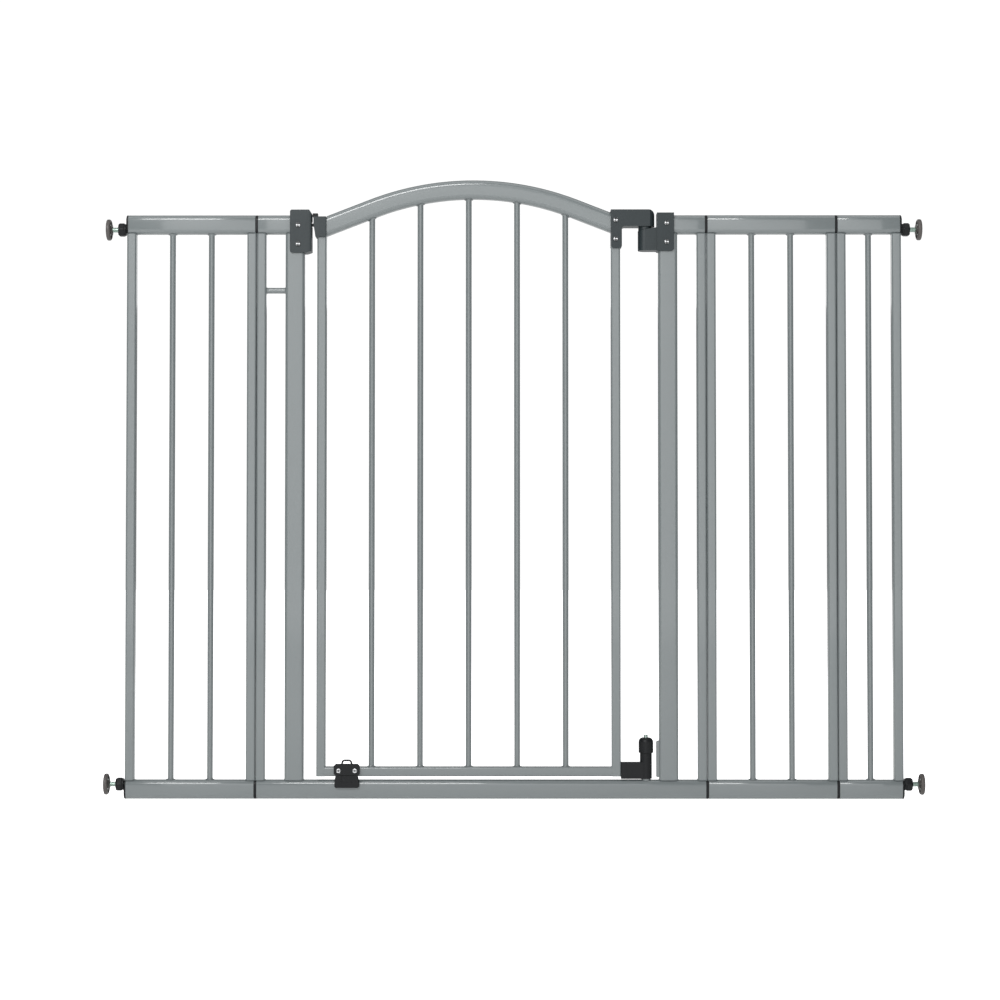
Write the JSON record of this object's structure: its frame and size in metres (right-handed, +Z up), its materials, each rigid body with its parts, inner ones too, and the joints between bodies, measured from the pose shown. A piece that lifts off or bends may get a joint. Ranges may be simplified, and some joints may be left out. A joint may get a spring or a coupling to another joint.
{
  "type": "safety baby gate",
  "caption": "Pressure-mounted walk-through child safety gate with an arched swing door, round bars, side extensions and threaded wall pads.",
  "frame": {"origin": "on the floor, in the middle of the gate's length and depth", "axes": "+X along the gate towards the hinge side, +Y to the back, the way the door is taken to open, +Z up"},
  "size_m": [1.2734, 0.033, 0.965],
  "materials": {
    "grey_paint": "semi-gloss slate grey powder coat",
    "slate_plastic": "satin moulded plastic, dark slate",
    "black_plastic": "satin moulded plastic, near black",
    "pad_rubber": "matt rubber",
    "zinc_steel": "zinc plated",
    "screw_steel": "bright plated",
    "dark_screw": "black plated",
    "spring_steel": "drawn wire"
  },
  "bodies": {
    "root": {"main_frame": "grey_paint", "left_extension": "grey_paint", "right_extension_wide": "grey_paint", "right_extension_narrow": "grey_paint", "connector_left_top": "black_plastic", "connector_left_bottom": "black_plastic", "connector_right_top": "black_plastic", "connector_right_bottom": "black_plastic", "connector_narrow_top": "black_plastic", "connector_narrow_bottom": "black_plastic", "end_bush_left_top": "black_plastic", "end_bush_left_bottom": "black_plastic", "end_bush_right_top": "black_plastic", "end_bush_right_bottom": "black_plastic", "strike_housing": "slate_plastic", "strike_screw_top": "dark_screw", "strike_screw_bottom": "dark_screw", "hinge_knuckle": "slate_plastic", "knuckle_screw_top": "dark_screw", "knuckle_screw_bottom": "dark_screw", "bottom_hinge_pin": "zinc_steel", "stop_catch": "black_plastic"},
    "rising_pin": {"top_hinge_pin": "zinc_steel"},
    "door": {"door_frame": "grey_paint", "latch_head": "slate_plastic", "latch_spring": "spring_steel", "hinge_arm": "slate_plastic", "arm_screw_top": "dark_screw", "arm_screw_bottom": "dark_screw", "bottom_bracket": "black_plastic", "spring_cap": "black_plastic", "closing_spring": "spring_steel", "stop_housing": "black_plastic", "stop_spring": "spring_steel", "stop_screw_left": "screw_steel", "stop_screw_right": "screw_steel"},
    "latch_slide": {"latch_slide": "black_plastic"},
    "stop_slide": {"stop_slide": "black_plastic"},
    "hand_nut_left_top": {"hand_nut_left_top": "black_plastic"},
    "spindle_left_top": {"spindle_left_top": "zinc_steel", "wall_pad_left_top": "pad_rubber"},
    "hand_nut_left_bottom": {"hand_nut_left_bottom": "black_plastic"},
    "spindle_left_bottom": {"spindle_left_bottom": "zinc_steel", "wall_pad_left_bottom": "pad_rubber"},
    "hand_nut_right_top": {"hand_nut_right_top": "black_plastic"},
    "spindle_right_top": {"spindle_right_top": "zinc_steel", "wall_pad_right_top": "pad_rubber"},
    "hand_nut_right_bottom": {"hand_nut_right_bottom": "black_plastic"},
    "spindle_right_bottom": {"spindle_right_bottom": "zinc_steel", "wall_pad_right_bottom": "pad_rubber"}
  },
  "joints": [
    {"name": "door_rise", "type": "slide", "parent": "root", "child": "rising_pin", "axis": [0, 0, 1], "range_m": [0, 0.0028]},
    {"name": "door_swing", "type": "hinge", "parent": "rising_pin", "child": "door", "pos_m": [0.20505, 0, 0.45], "axis": [0, 0, 1], "range_deg": [-90, 0], "stiffness_Nm_per_rad": 0.6, "springref_deg": 20.05},
    {"name": "latch_pull", "type": "slide", "parent": "door", "child": "latch_slide", "axis": [1, 0, 0], "range_m": [0, 0.006], "stiffness_N_per_m": 250, "springref_m": -0.004},
    {"name": "stop_lift", "type": "slide", "parent": "door", "child": "stop_slide", "axis": [0, 0, 1], "range_m": [0, 0.008], "stiffness_N_per_m": 120, "springref_m": -0.004},
    {"name": "spindle_travel_left_top", "type": "slide", "parent": "root", "child": "spindle_left_top", "axis": [-1, 0, 0], "range_m": [-0.005, 0.03]},
    {"name": "nut_turn_left_top", "type": "hinge", "parent": "root", "child": "hand_nut_left_top", "pos_m": [-0.61275, 0, 0.8874], "axis": [-1, 0, 0], "range_deg": [-8650, 1450]},
    {"name": "spindle_travel_left_bottom", "type": "slide", "parent": "root", "child": "spindle_left_bottom", "axis": [-1, 0, 0], "range_m": [-0.005, 0.03]},
    {"name": "nut_turn_left_bottom", "type": "hinge", "parent": "root", "child": "hand_nut_left_bottom", "pos_m": [-0.61275, 0, 0.0226], "axis": [-1, 0, 0], "range_deg": [-8650, 1450]},
    {"name": "spindle_travel_right_top", "type": "slide", "parent": "root", "child": "spindle_right_top", "axis": [1, 0, 0], "range_m": [-0.005, 0.03]},
    {"name": "nut_turn_right_top", "type": "hinge", "parent": "root", "child": "hand_nut_right_top", "pos_m": [0.61275, 0, 0.8874], "axis": [1, 0, 0], "range_deg": [-8650, 1450]},
    {"name": "spindle_travel_right_bottom", "type": "slide", "parent": "root", "child": "spindle_right_bottom", "axis": [1, 0, 0], "range_m": [-0.005, 0.03]},
    {"name": "nut_turn_right_bottom", "type": "hinge", "parent": "root", "child": "hand_nut_right_bottom", "pos_m": [0.61275, 0, 0.0226], "axis": [1, 0, 0], "range_deg": [-8650, 1450]}
  ],
  "couplings": [
    {"joint": "door_rise", "follows": "door_swing", "m_per_rad": -0.00175},
    {"joint": "nut_turn_left_top", "follows": "spindle_travel_left_top", "rad_per_m": -5026.5},
    {"joint": "nut_turn_left_bottom", "follows": "spindle_travel_left_bottom", "rad_per_m": -5026.5},
    {"joint": "nut_turn_right_top", "follows": "spindle_travel_right_top", "rad_per_m": -5026.5},
    {"joint": "nut_turn_right_bottom", "follows": "spindle_travel_right_bottom", "rad_per_m": -5026.5}
  ]
}
